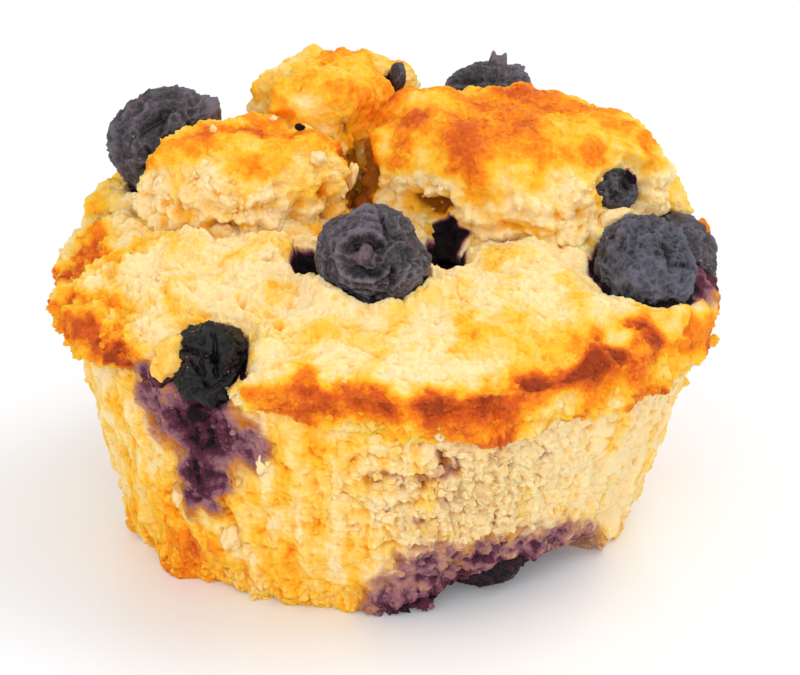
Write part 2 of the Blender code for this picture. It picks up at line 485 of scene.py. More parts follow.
# %% Berry places
BERRY_NAMES = (
    "berry_centre",
    "berry_right",
    "berry_right_back",
    "berry_upper_left",
    "berry_top_back",
    "berry_in_right_plate",
    "berry_in_back_lump",
    "berry_left_side",
    "berry_bottom",
)


def node_box(name):
    """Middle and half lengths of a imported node's box, in millimetres."""
    low, high = (np.array(corner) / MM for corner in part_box(name))
    return (low + high) / 2, (high - low) / 2


BERRY_BOXES = {name: node_box(name) for name in BERRY_NAMES}


def from_berry(points, name):
    """Distance in millimetres from a berry's skin, taken as that of an ellipsoid that fills its box."""
    middle, half = BERRY_BOXES[name]
    return (np.linalg.norm((points - middle) / half, axis=-1) - 1) * half.mean()


def berry_moats(points):
    """How deep the moat is and how deeply juice has stained the cake at each point, over all berries. Berries that
    only peek out of a lump have next to no moat, but the lump opens over the larger one of them."""
    moat = np.zeros(points.shape[:-1])
    stain_and_shade = np.zeros(points.shape[:-1])
    ragged = 0.4 * ripple(points, 1.3, 901)
    for name in BERRY_NAMES:
        away = from_berry(points, name)
        depth = 0.12 if name.startswith("berry_in") else 0.5
        moat = np.maximum(moat, depth * (1 - step(np.abs(away - 0.1), 0.1, 0.6)))
        if name == "berry_in_right_plate":
            moat = np.maximum(moat, 1.5 * (1 - step(away + ragged, 0.5, 1.3)))
        stain_and_shade = np.maximum(stain_and_shade, 1 - step(away + ragged, -0.1, 0.3 + 0.4 * depth))
    for name, depth in (("berry_centre", 0.85), ("berry_right", 0.5)):
        middle, half = BERRY_BOXES[name]
        front = step(middle[1] - points[..., 1], 0.0, 2.5) * step(middle[2] + 0.5 - points[..., 2], 0.0, 2.0)
        moat = moat - depth * front * (1 - step(np.abs(from_berry(points, name) - 1.1), 0.3, 1.8))
    return moat, stain_and_shade


CRACK = ((-2.5, -0.8, 41.5), (2.0, 4.6, 6.2))


def crack_brown(points):
    """Where the deep crack between the lumps lies, 1 at its middle: the cake there is baked browner and painted with a
    deep brown shade.
    """
    return near(bend(points, 2.0, 0.6, 905), *CRACK, 4)


# %% [markdown]
# ## The shape of the cake
# The cup part widens upward, as the tin's hollow did, and the crown bulges over it in a rounded lip. These are the
# sizes and functions of the cake in the part file, now read on a grid whose cells are a fifth of a millimetre across.

# %% Cake sizes
BASE_RADIUS = 28.1
NECK_RADIUS = 35.0
LIP_HEIGHT = 22.9
EDGE_ROUND = 1.3
BROKEN_LIFT = 3.3
BASE_MIDDLE = -0.8
TOP_DRIFT = 1.3
CREST_RADIUS = 37.4
CREST_HEIGHT = 28.4
DOME_HEIGHT = 37.8
DOME_POWER = 0.6
WALL_TOP = LIP_HEIGHT + 3.5
FOOT_WIDTH = 7.6
CROWN_SHARE = 0.84


def cake_place(radius, height, angle):
    """Points at a radius, height and bearing. The middle drifts sideways from the base to the lip."""
    middle = BASE_MIDDLE + TOP_DRIFT * np.minimum(height / LIP_HEIGHT, 1.0)
    return np.stack([radius * np.cos(angle) + middle, radius * np.sin(angle), height], -1)


def bearing_of(points):
    """The bearing of each point round the cake's middle, in radians."""
    return np.arctan2(points[..., 1], points[..., 0] - BASE_MIDDLE - TOP_DRIFT)


def broken_edge(angle):
    """1 where the foot is broken away over the lowest berry."""
    return swell(angle, -52, 25, sharp=14)


def crest_of(angle):
    """Radius and height of the crown's widest line, with its notch, its left bulge and its rises."""
    hollow = swell(angle, -124, 9)
    radius = CREST_RADIUS + uneven(angle, 3, 0.45) - 1.6 * hollow + 1.4 * swell(angle, -170, 15)
    return radius, CREST_HEIGHT + uneven(angle, 5, 0.35) + 1.6 * swell(angle, 180, 45)


def lip_of(angle):
    """Height of the lip's lower edge, raised over the berry on the left side and at the back left."""
    rises = 3.0 * swell(angle, -128, 28) + 1.5 * swell(angle, 150, 60)
    return LIP_HEIGHT + uneven(angle, 7, 0.5) + rises


def neck_of(angle):
    """Radius of the cup part where the lip starts."""
    return NECK_RADIUS + uneven(angle, 11, 0.25)


def crown_surface(down, angle):
    """Dome, crest and rolled lip. The dome is crest + rise * (1 - q^fullness)^0.6 for q from 0 to 1, and the
    lip is a quarter of an ellipse from the crest in to the neck."""
    crest, crest_height = crest_of(angle)
    back = 0.5 + 0.5 * np.sin(angle)
    fullness = 1.3 + 4.2 * back**1.3 + 2.6 * swell(angle, 170, 30) + 2.2 * swell(angle, 14, 22)
    part = np.clip(down / CROWN_SHARE, 0, 1)
    dome_height = crest_height + (DOME_HEIGHT - crest_height) * (1 - part**fullness) ** DOME_POWER
    turn = np.clip((down - CROWN_SHARE) / (1 - CROWN_SHARE), 0, 1) * math.pi / 2
    neck = neck_of(angle) + 0.3
    lip_radius = neck + (crest - neck) * np.cos(turn)
    lip_height = crest_height - (crest_height - lip_of(angle)) * np.sin(turn)
    radius = np.where(down < CROWN_SHARE, crest * part, lip_radius)
    height = np.where(down < CROWN_SHARE, dome_height, lip_height)
    return cake_place(radius, height, angle)


def wall_surface(down, angle):
    """The cup's side and foot. Its radius grows from the base to the neck as height^0.8, and the foot turns
    under in a quarter circle, then runs flat towards the middle."""
    base = BASE_RADIUS + uneven(angle, 9, 0.25) - 2.6 * broken_edge(angle) - 0.9 * swell(angle, -125, 25)
    lift = BROKEN_LIFT * broken_edge(angle)
    low = lift + EDGE_ROUND
    side = np.clip(down / 0.7, 0, 1)
    height = WALL_TOP + (low - WALL_TOP) * side
    radius = base + (neck_of(angle) - base) * (np.minimum(height, LIP_HEIGHT) / LIP_HEIGHT) ** 0.8
    turn = np.clip((down - 0.7) / 0.06, 0, 1) * math.pi / 2
    end = base + (neck_of(angle) - base) * (low / LIP_HEIGHT) ** 0.8
    radius = np.where(down > 0.7, end - EDGE_ROUND * (1 - np.cos(turn)), radius)
    height = np.where(down > 0.7, low - EDGE_ROUND * np.sin(turn), height)
    under = np.clip((down - 0.76) / 0.24, 0, 1)
    radius = np.where(down > 0.76, (end - EDGE_ROUND) * (1 - under) + 1.0 * under, radius)
    rise = lift * (1 - step(under * (end - EDGE_ROUND - 1), 0, FOOT_WIDTH - EDGE_ROUND))
    height = np.where(down > 0.76, rise, height)
    return cake_place(radius, height, angle)


# %% [markdown]
# ## The blocks on top
# The lumps have to be known before the crown, which dips into a crease along each of them.

# %% Lump shapes
LUMP_SQUARE = 0.5
PLATES = {
    "left_plate": ((-15.6, -0.4, 35.6), (12.7, 8.4), 11.4, -6, 21, (0.03, 0.02), (420, 210)),
    "right_plate": ((13.8, 2.4, 35.4), (16.9, 12.2), 13.0, -7, 22, (-0.04, 0.05), (430, 220)),
    "middle_lump": ((-6.4, 9.2, 40.0), (7.8, 7.0), 11.6, 10, 23, (0.0, 0.05), (280, 170)),
    "back_lump": ((-5.2, 15.6, 39.0), (10.8, 8.6), 12.4, 0, 24, (0.0, -0.06), (300, 170)),
    "right_shoulder": ((27.8, 11.0, 33.0), (6.8, 8.4), 6.8, 20, 25, (-0.35, 0.0), (240, 130)),
    "left_shoulder": ((-27.0, 11.5, 31.0), (7.6, 10.0), 6.6, -20, 26, (0.2, 0.0), (240, 130)),
}


def lump_surface(centre, radii, height, turn, seed, tilt):
    """A function that gives a lump's points: a squared ellipsoid, |sin|^0.5 wide and |cos|^0.5 high, whose
    outline waves by a tenth, leaning by its tilt and turned about the upright."""
    turned = math.radians(turn)

    def surface(down, angle):
        outline = 1 + uneven(angle, seed, 0.09, slowest=2, waves=6)
        reach = np.abs(np.sin(down)) ** LUMP_SQUARE * outline
        level = np.sign(np.cos(down)) * np.abs(np.cos(down)) ** LUMP_SQUARE * height
        x = radii[0] * reach * np.cos(angle)
        y = radii[1] * reach * np.sin(angle)
        level = level + tilt[0] * x + tilt[1] * y
        across = x * math.cos(turned) - y * math.sin(turned)
        along = x * math.sin(turned) + y * math.cos(turned)
        return np.stack([across, along, level], -1) + np.array(centre)

    return surface


def lump_rows(surface, count, hidden=0.3):
    """Rows evenly spaced down a lump's front, thinned to one in six over its buried lower part."""
    rows = even_rows(lambda part: surface(part * math.pi, np.full_like(part, -math.pi / 2)), count) * math.pi
    shown = rows[rows < math.pi * (1 - hidden)]
    return np.concatenate([shown[1:], rows[rows >= math.pi * (1 - hidden)][:-1:6]])


def from_lump(points, centre, radii, height, turn, tilt):
    """Distance in millimetres from a lump's side: its own formula solved for how far out a point lies."""
    turned = math.radians(turn)
    off = points - np.array(centre)
    x = (off[..., 0] * math.cos(turned) + off[..., 1] * math.sin(turned)) / radii[0]
    y = (off[..., 1] * math.cos(turned) - off[..., 0] * math.sin(turned)) / radii[1]
    z = (off[..., 2] - tilt[0] * x * radii[0] - tilt[1] * y * radii[1]) / height
    level = np.hypot(x, y) ** (2 / LUMP_SQUARE) + np.abs(z) ** (2 / LUMP_SQUARE)
    return (level ** (LUMP_SQUARE / 2) - 1) * (radii[0] + radii[1]) / 2


def lump_crease(points):
    """1 in the crease where the crown runs under a lump's side, falling to 0 a millimetre away."""
    crease = np.zeros(points.shape[:-1])
    for centre, radii, height, turn, seed, tilt, cells in PLATES.values():
        away = from_lump(points, centre, radii, height, turn, tilt)
        crease = np.maximum(crease, np.exp(-((away / 0.9) ** 2)))
    return crease


# %% [markdown]
# ## Crumb, skin and crust as relief
# The relief moves the surface along its own normal. Torn cake is packed clumps with crumbs on them. Skin
# that browned in the oven is smooth with shallow swells. The cup's side was pressed against the tin, so its
# crumbs are flattened and only the gaps between them are deep.


# %% Relief of crumb
def crumb_layers(points, seed):
    """Clumps, crumbs and dust: packed grains of three sizes, each 0 to 1, on a lattice bent twice."""
    bent = bend(bend(points, 3.2, 0.8, seed), 1.1, 0.28, seed + 7)
    return grains(bent, 1.9, seed + 11, 0.8), grains(bent, 0.95, seed + 22), grains(points, 0.55, seed + 33)


def puffs(points, size, seed, layers=4, fall=0.6):
    """Puffy noise, about 0 to 1: the size of cloudy noise without its sign, so that it is round on top and
    creased where the noise passes through 0. Each layer is half as large and weaker by fall."""
    parts = [np.abs(ripple(points, size / 2**k, seed + 13 * k)) * fall**k for k in range(layers)]
    return sum(parts) / sum(0.42 * fall**k for k in range(layers)) * 0.5


def sparse_pits(points, size, seed, share):
    """Round pits with soft rims, 0 to 1, in that share of the cells of a lattice."""
    return step(grains(bend(points, 2.4, 0.5, seed), size, seed + 5, reach=0.34, share=share), 0.0, 0.8)


def hairline(points, size, width, seed):
    """Thin wandering cracks: 1 where cloudy noise passes through 0, within a width."""
    return np.exp(-((ripple(points, size, seed) / width) ** 2))


# %% [markdown]
# ## The crown
# The front is a broad apron of pale cake under two big torn lumps. Its edge is baked: a narrow orange band
# with a dark line along the crest on the right, and a rough brown crust on the left. Two fuzzy hollows flank
# the berry in the middle, sunk and painted near black as shadow.

# %% Crown finish
# The two hollows beside the middle berry are sunk and painted near black as shadow.
CENTRE_HOLLOWS = (
    ((-8.0, -13.8, 36.8), (2.1, 3.6, 3.5), 3.8),
    ((6.6, -11.6, 36.6), (2.3, 3.6, 3.0), 4.2),
)
SIDE_BERRY_ARCH = ((-18.6, -27.4, 30.0), (5.2, 6.2, 4.9), 2.4)
CROWN_HUMPS = (
    ((-22.5, -10.5, 36.5), (4.2, 2.8, 3.0), 1.7),
    ((-11.5, -12.0, 36.5), (3.4, 2.6, 3.0), 2.0),
    ((-2.0, -10.8, 37.0), (2.6, 2.4, 3.0), 1.8),
    ((13.5, -12.0, 36.0), (4.4, 2.4, 3.0), 1.6),
    ((20.5, -10.6, 36.5), (3.0, 2.4, 3.0), 1.2),
    ((25.5, -9.0, 37.0), (2.4, 3.0, 3.0), 2.2),
    ((-23.6, -18.0, 34.0), (2.6, 3.4, 3.0), 1.3),
    ((-15.0, -19.0, 34.5), (5.0, 4.0, 3.0), 0.8),
    ((13.0, -19.0, 34.5), (5.0, 4.5, 3.0), 0.7),
)


BAKED_SPOTS = (
    ((27.0, -23.5, 30.6), (5.0, 4.0, 2.0), 0.2),
    ((-35.2, -8.0, 33.0), (2.6, 3.4, 2.4), 0.46),
    ((-31.6, -19.2, 29.8), (3.2, 3.2, 3.0), 0.42),
    ((-29.8, -22.4, 28.4), (2.6, 2.6, 2.2), 0.3),
)


def crown_bake(points, bearing, patches):
    """How brown the crown is. A band along the crest is strongest at the right front and on the left crust,
    and breaks off near the middle and over the berry on the left side."""
    height = points[..., 2]
    radius = np.hypot(points[..., 0] - 0.5, points[..., 1])
    level = (
        0.58
        + 0.06 * swell(bearing, -107, 8)
        - 0.22 * swell(bearing, -97, 4.5)
        - 0.5 * swell(bearing, -126, 14, 4)
        - 0.02 * swell(bearing, -162, 15, 4)
        + 0.04 * swell(bearing, 90, 80, 4)
    )
    rises = 1.4 * swell(bearing, -42, 22, 4) - 0.3 * swell(bearing, -82, 10)
    line = crest_of(bearing)[1] + rises + 0.9 * patches
    above = np.exp(-((np.maximum(height - line, 0) / (1.4 + 0.8 * swell(bearing, -60, 14))) ** 2))
    below = 1 - 0.3 * step(line - height, 0.8, 4.0)
    edge = (level + 0.3 * patches) * above * below * step(radius, 29.0, 34.0)
    dark = 0.24 * swell(bearing, -55, 15, 4) + 0.16 * swell(bearing, -78, 7) + 0.14 * swell(bearing, -108, 6)
    dark += 0.12 * swell(bearing, 90, 80, 6) * (1 + patches)
    thick = 0.7 + 0.5 * swell(bearing, -50, 10)
    edge += dark * np.exp(-(((height - line + 0.3) / thick) ** 2)) * step(radius, 31.0, 34.5) * (1 + patches)
    for spot, size, amount in BAKED_SPOTS:
        edge += amount * near(points, spot, size) * (1 + 0.8 * patches)
    gold = 0.42 * near(points, (20.0, -27.0, 31.0), (7.0, 4.6, 3.0), 3) * step(height, 28.0, 31.0)
    gold += 0.1 * near(points, (15.0, -29.0, 31.5), (8.0, 4.0, 3.0), 2)
    left = (0.26 + 0.3 * patches) * swell(bearing, -163, 18, 4) * step(radius + 2.0 * patches, 30.0, 34.0)
    left += 0.08 * swell(bearing, -163, 16, 4) * step(radius + 2.0 * patches, 33.0, 36.0)
    back = (0.3 + 0.14 * patches) * swell(bearing, 90, 78, 6) * step(radius, 20.0, 30.0)
    return np.maximum(edge, np.maximum(np.maximum(gold, left), back)) + 0.12 + 0.2 * patches


def crown_finish(points, normal):
    """Relief in millimetres, and the values that the finish reads, over the crown."""
    bearing = bearing_of(points)
    radius = np.hypot(points[..., 0] - 0.5, points[..., 1])
    clumps, crumbs, dust = crumb_layers(points, 100)
    puffy = puffs(bend(points, 4.0, 0.8, 110), 4.6, 120)
    swells = clouds(points, 7.5, 140, 2)
    patches = clouds(points, 5.0, 150, 3)
    under = step(crest_of(bearing)[1] - points[..., 2], 0.0, 2.0) * step(radius, 33.0, 35.5)
    crust = swell(bearing, -162, 19, 4) * step(radius, 29.5, 33.5)
    rim = step(radius, 33.0, 36.0)
    pits = sparse_pits(points, 3.2, 160, 0.28) * (1 - 0.7 * rim)
    crack = hairline(points, 9.0, 0.02, 170) * step(patches, -0.1, 0.3)
    relief = 1.0 * swells + 1.35 * (puffy - 0.45) + 0.3 * (clumps - 0.5) + 0.26 * (crumbs - 0.5)
    relief += 0.14 * (dust - 0.5)
    for spot, size, rise in CROWN_HUMPS:
        relief += rise * near(points, spot, size) * (0.7 + 0.7 * puffy)
    relief += crust * (1.1 * (puffy - 0.5) + 0.5 * (clumps - 0.6) + 0.3 * (crumbs - 0.5) - 0.3)
    relief += rim * (0.3 * ripple(points, 3.0, 180) - 0.2) + under * (0.5 * (clumps - 0.6) + 0.3 * (crumbs - 0.5))
    relief -= 0.55 * pits + 0.25 * crack
    # Pits, cracks, valleys, the crease under each lump and the gaps under the lip get painted shade through the hollow
    # value.
    valley = step(0.22 - puffy, 0.0, 0.2)
    hollow = 0.7 * pits + 0.45 * crack + 0.4 * valley + 0.2 * step(0.35 - crumbs, 0, 0.3)
    moat, stain_and_shade = berry_moats(points)
    relief -= 1.5 * moat
    crease = lump_crease(points) * step(ripple(points, 5.0, 195), -0.15, 0.35)
    relief -= 0.6 * crease
    hollow = hollow + 0.6 * crease + 0.4 * under * step(0.45 - clumps, 0, 0.4)
    fuzz = 0.4 * ripple(points, 1.1, 190)
    # Painted shadow: the two hollows beside the middle berry are painted near black.
    for spot, size, depth in CENTRE_HOLLOWS:
        inside = near(points, spot, size, 4) * (1 + fuzz)
        relief -= depth * np.clip(inside, 0, 1)
        stain_and_shade = np.maximum(stain_and_shade, 1.25 * step(inside, 0.1, 0.5))
    arch = near(points, *SIDE_BERRY_ARCH[:2], 4)
    stain_and_shade = np.maximum(stain_and_shade, 0.8 * near(points, (-22.5, -26.5, 25.5), (6.4, 5.5, 3.6), 4) * (1 + fuzz))
    relief -= SIDE_BERRY_ARCH[2] * arch
    stain_and_shade = np.maximum(stain_and_shade, 0.95 * step(arch * (1 + fuzz), 0.35, 0.85))
    stain_and_shade = np.maximum(stain_and_shade, 0.42 * near(points, (-31.0, 6.5, 36.5), (3.2, 4.0, 3.0)) * (1 + fuzz))
    stain_and_shade = np.maximum(stain_and_shade, 0.06 * near(points, (-9.5, -19.5, 34.5), (5.0, 4.5, 4.0)))
    stain_and_shade = np.maximum(stain_and_shade, 0.85 * near(points, (33.2, -8.5, 31.5), (4.2, 4.6, 3.4), 3) * (1 + fuzz))
    stain_and_shade = np.maximum(stain_and_shade, 0.9 * near(points, (36.4, -3.0, 31.0), (3.2, 5.6, 3.6), 3) * (1 + fuzz))
    # Valleys and the crease under each lump are also baked a little browner, as painted shade.
    bake = crown_bake(points, bearing, patches) + 0.06 * (clumps - 0.5) + 0.1 * crease + 0.08 * valley
    bake += crust * (0.1 * (clumps - 0.5) + 0.12 * step(0.5 - puffy, 0, 0.4)) + 0.3 * crack_brown(points)
    bake += 0.12 * step(hairline(points, 5.0, 0.35, 197) * step(patches, -0.2, 0.4), 0.4, 1.0)
    # Painted shade: the crack between the lumps turns a deep brown.
    hollow = np.clip(hollow, 0, 1) + 1.6 * crack_brown(points)
    return relief, {"bake": bake, "stain_and_shade": stain_and_shade, "hollow": hollow}


# %% Wall finish
JUICE_RUN = (
    ((-19.6, -27.0, 21.6), (6.0, 6.5, 5.6), 0.92),
    ((-24.2, -23.8, 22.5), (3.0, 4.0, 4.6), 0.62),
    ((-14.6, -30.0, 21.0), (3.0, 4.0, 3.6), 0.62),
    ((-19.8, -26.0, 15.4), (2.9, 5.0, 4.6), 0.86),
    ((-21.0, -24.6, 12.0), (1.5, 4.0, 2.8), 0.7),
)


def wall_finish(points, normal):
    """Relief and values over the cup's side. Shallow flutes run up it. The front right of
    it is greyer and coarser, and juice has run below both of the low berries."""
    bearing = bearing_of(points)
    height = points[..., 2]
    clumps, crumbs, dust = crumb_layers(points, 200)
    tall = bend(points, 4.0, 0.9, 210) * (1, 1, 0.6)
    puffy = puffs(tall, 4.0, 220)
    patches = clouds(points, 6.5, 240, 3)
    coarse = near(points, (8.5, -31.0, 16.5), (11.5, 8.0, 9.0), 3)
    flutes = np.cos(54 * bearing + 1.5 * ripple(points, 9.0, 250))
    streaks = clouds(points * (1, 1, 0.3), 2.4, 255, 2)
    pits = sparse_pits(points, 2.7, 260, 0.4)
    raised = 1.0 * (puffy - 0.42) + 0.6 * (clumps - 0.45) + 0.45 * (crumbs - 0.42) + 0.2 * (dust - 0.5)
    pressed = 0.7 * np.minimum(raised, 0.06 + 0.12 * raised)
    loose = np.maximum(coarse, 0.7 * step(4.5 - height, 0.0, 3.0) * swell(bearing, -110, 50, 6))
    relief = 0.5 * patches + 1.2 * (pressed + (raised - pressed) * loose) + 0.2 * flutes * (1 - coarse)
    relief += coarse * (0.8 * (clumps - 0.5) + 0.5 * (crumbs - 0.4)) - 0.6 * pits
    relief += 1.6 * near(points, (-23.4, -18.0, 1.0), (2.6, 3.0, 2.2)) + 0.5 * clouds(points, 3.5, 295, 2)
    # Pits and the gaps between crumbs get painted shade through the hollow value.
    hollow = 0.7 * pits + 0.6 * step(-raised, 0.05, 0.5)
    moat, stain_and_shade = berry_moats(points)
    relief -= 1.5 * moat
    wander = 2.2 * ripple(points, 4.5, 270)
    fuzz = 0.35 * ripple(points, 1.3, 280) + 0.25 * (0.5 - clumps)
    frayed = bend(points, 3.0, 0.9, 285)
    for spot, size, depth in JUICE_RUN:
        stain_and_shade = np.maximum(stain_and_shade, (depth + 0.6 * fuzz) * near(frayed, spot, size, 3))
    relief -= 0.9 * near(points, *JUICE_RUN[0][:2])
    edge = 9.4 * (1 - ((points[..., 0] - 11.0) / 14.5) ** 4) + 0.7 * wander + 1.2 * (clumps - 0.5)
    spill = step(edge - height, -2.4, 3.2) * swell(bearing, -62, 34, 8)
    stain_and_shade = np.maximum(stain_and_shade, (0.54 + 0.36 * step(4.5 - height, 0, 4) + 0.9 * fuzz) * spill)
    murky = coarse * step(clouds(points, 4.2, 290, 2), -0.45, 0.35)
    stain_and_shade = np.maximum(stain_and_shade, (0.12 + 0.34 * step(0.6 - clumps, 0, 0.5)) * murky)
    golden = 0.22 + 0.1 * swell(bearing, -103, 16) + 0.22 * swell(bearing, 90, 80, 6)
    golden += 0.3 * swell(bearing, -142, 24) * step(19.0 - height, -4.0, 16.0)
    bake = golden - 0.2 * swell(bearing, -42, 24, 4) - 0.16 * coarse + 0.16 * patches + 0.16 * streaks
    bake -= 0.05 * flutes
    bake += 0.2 * near(points, (-22.0, -20.5, 4.5), (5.0, 4.5, 4.5)) + 0.1 * step(6 - height, 0, 6)
    # Painted shade: the gaps between crumbs are a little browner and the raised crumbs paler.
    bake += 0.1 * step(-raised, 0.05, 0.5) - 0.14 * step(raised, 0.1, 0.5)
    return relief, {"bake": bake, "stain_and_shade": stain_and_shade, "hollow": np.clip(hollow, 0, 1)}


# %% [markdown]
# ## Cutting the cake into pieces
# Crown and cup are each made as two wedges, a front and a back one, so that no mesh grows too heavy. A wedge
# is a closed grid: one more column runs down the cake's axis and closes both of its cut sides, which lie
# inside the cake. The wedges share the same rows and the same relief, so their edges meet point for point.

# %% Wedges
FRONT_START = math.radians(-184)
FRONT_END = math.radians(4)


def closed_wedge(body, start_height, end_height):
    """Adds the first and last point and the axis column to a grid that covers an arc."""
    rows = body.shape[0] + 2
    axis = np.zeros((rows, 1, 3))
    axis[:, 0, 2] = np.linspace(start_height, end_height, rows)
    top = np.broadcast_to(axis[0], (1, body.shape[1], 3))
    end = np.broadcast_to(axis[-1], (1, body.shape[1], 3))
    return np.concatenate([np.concatenate([top, body, end]), axis], 1)


def wedge_values(layer):
    """A value's layer with the extra rows and column of a closed wedge."""
    tall = np.concatenate([layer[:1], layer, layer[-1:]])
    return np.concatenate([tall, tall[:, :1]], 1)


def make_wedge(name, surface, finish, rows, arc, columns, ends):
    """One wedge of the cake: the surface is read on a grid, moved by its relief, and closed."""
    angle, down = np.meshgrid(np.linspace(*arc, columns), rows)
    points = surface(down, angle)
    normal = facing(surface, down, angle)
    relief, values = finish(points, normal)
    body = points + normal * relief[..., None]
    body[..., 2] = np.maximum(body[..., 2], 0.0)
    closed = {key: wedge_values(layer) for key, layer in values.items()}
    piece = make_piece(name, closed_wedge(body, *ends), CAKE_FINISH, closed, (0, columns - 1, columns))
    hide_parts("cake")
    return body, normal, values


def thinned(rows, shown_from, shown_to, rest):
    """The rows whose parameter lies in the shown range, with only some of those outside it."""
    shown = (rows > shown_from) & (rows < shown_to)
    return rows[shown | (np.arange(len(rows)) % rest == 0)][1:]


def front_line(surface):
    """The profile of a surface of the cake at its front."""
    return lambda down: surface(down, np.full_like(down, -math.pi / 2))


CROWN_ROWS = thinned(even_rows(front_line(crown_surface), 200), 0.15, 2.0, 6)
WALL_ROWS = thinned(even_rows(front_line(wall_surface), 275), -1.0, 0.78, 11)
BACK_ARC = (FRONT_END, FRONT_START + math.tau)
print("crown rows", len(CROWN_ROWS), "wall rows", len(WALL_ROWS))
FRONT_ARC = (FRONT_START, FRONT_END)
CROWN_ENDS = (DOME_HEIGHT, 24.5)
CUP_ENDS = (WALL_TOP, 0.0)
front_crown = make_wedge("crown_front", crown_surface, crown_finish, CROWN_ROWS, FRONT_ARC, 540, CROWN_ENDS)
back_crown = make_wedge("crown_back", crown_surface, crown_finish, CROWN_ROWS, BACK_ARC, 360, CROWN_ENDS)
front_cup = make_wedge("cup_front", wall_surface, wall_finish, WALL_ROWS, FRONT_ARC, 560, CUP_ENDS)
back_cup = make_wedge("cup_back", wall_surface, wall_finish, WALL_ROWS, BACK_ARC, 360, CUP_ENDS)

# %% [markdown]
# ## The torn lumps on top
# While it baked, the top cracked into blocks: a left and a right one in front, a smaller one between and
# behind them, one at the back, and a shoulder on each side. Each is a squared ellipsoid with a wavy outline.
# Where a block faces up it has a browned skin, and its sides are torn, pale and clumpy.

# %% Lump finish
# A sunk gap beside the middle berry, painted a deep brown shade.
SHADED_GAP = ((4.4, -7.0, 39.6), (2.8, 3.4, 1.3))
PEEK_SHADOW = ((26.4, -5.4, 40.8), (1.1, 2.4, 2.2))
LUMP_LOOKS = {
    "left_plate": (-0.6, 0.42, 42.2, 2.4, (
        ((-18.1, -1.6, 46.9), (3.8, 1.6, 1.6), 0.34),
        ((-11.5, -2.0, 46.9), (4.6, 1.4, 1.6), 0.32),
        ((-14.0, 3.0, 47.0), (8.0, 3.0, 2.0), 0.14),
    ), (
        ((-6.3, -6.8, 40.8), (0.9, 2.2, 1.2), 1.8),
        ((-5.0, -6.0, 38.4), (1.2, 2.2, 1.6), 2.2),
        ((-2.2, -0.5, 42.0), (1.6, 6.0, 7.0), 1.6),
        ((-17.8, -9.6, 37.2), (3.2, 2.4, 0.8), 1.8),
        ((-11.6, -9.4, 42.4), (0.8, 1.6, 1.0), 0.8),
        ((-9.6, -9.4, 38.0), (1.4, 2.0, 0.8), 1.1),
        ((-22.4, -7.5, 38.5), (0.9, 1.6, 1.6), 0.8),
    )),
    "right_plate": (0.5, 0.56, 42.2, 2.2, (
        ((10.6, -5.1, 47.3), (3.4, 3.0, 2.4), 0.26),
        ((3.0, -1.0, 47.2), (2.6, 2.2, 2.0), 0.2),
        ((16.0, 6.0, 48.4), (6.0, 4.0, 2.0), 0.14),
        ((4.2, -6.0, 43.0), (3.4, 3.0, 2.4), -0.4),
        ((8.5, -6.5, 45.5), (2.0, 3.0, 2.6), 0.16),
        ((16.5, -10.0, 42.2), (6.0, 3.0, 2.0), -0.22),
        ((22.5, -8.0, 41.0), (3.0, 4.0, 4.0), 0.16),
        ((1.0, -3.6, 43.6), (1.6, 2.0, 1.6), 0.22),
    ), (
        ((4.4, -7.4, 39.4), (3.0, 3.2, 1.5), 3.2),
        ((24.9, -6.6, 41.6), (1.8, 3.0, 2.6), 2.6),
        ((-2.8, -0.5, 42.0), (1.8, 6.0, 7.0), 1.4),
        ((3.0, -6.4, 40.6), (1.0, 2.0, 1.2), 1.4),
        ((15.5, -10.6, 38.2), (3.5, 2.4, 0.6), 0.9),
        ((9.5, -9.5, 41.2), (1.6, 2.0, 1.2), 0.7),
    )),
    "middle_lump": (0.0, 0.46, 43.0, 2.6, (
        ((-1.0, 6.0, 48.6), (2.2, 4.5, 2.8), 0.28),
        ((-6.0, 4.0, 51.4), (5.5, 2.0, 1.6), 0.2),
        ((-8.4, 3.0, 48.6), (2.2, 2.4, 1.6), -0.2),
    ), (
        ((-4.2, 2.4, 45.4), (1.5, 1.6, 1.2), 1.0),
        ((-11.5, 3.2, 47.0), (1.4, 1.8, 1.4), 0.8),
        ((-1.0, 1.0, 43.0), (3.0, 3.0, 4.0), 1.2),
    )),
    "back_lump": (-1.1, 0.3, 45.0, 2.0, (
        ((-8.0, 12.0, 51.0), (6.0, 3.0, 2.0), 0.14),
        ((-3.0, 20.0, 51.0), (6.0, 4.0, 3.0), 0.2),
    ), ()),
    "right_shoulder": (0.0, 0.12, 35.0, 1.5, (
        ((31.0, 3.0, 37.0), (2.2, 3.0, 3.0), 0.3),
        ((30.0, 16.0, 38.0), (6.0, 6.0, 3.0), 0.3),
    ), ()),
    "left_shoulder": (0.0, 0.16, 33.0, 1.5, (
        ((-30.0, 17.0, 36.0), (5.0, 6.0, 3.0), 0.3),
        ((-31.0, 6.0, 35.0), (3.0, 3.0, 3.0), 0.2),
    ), ()),
}


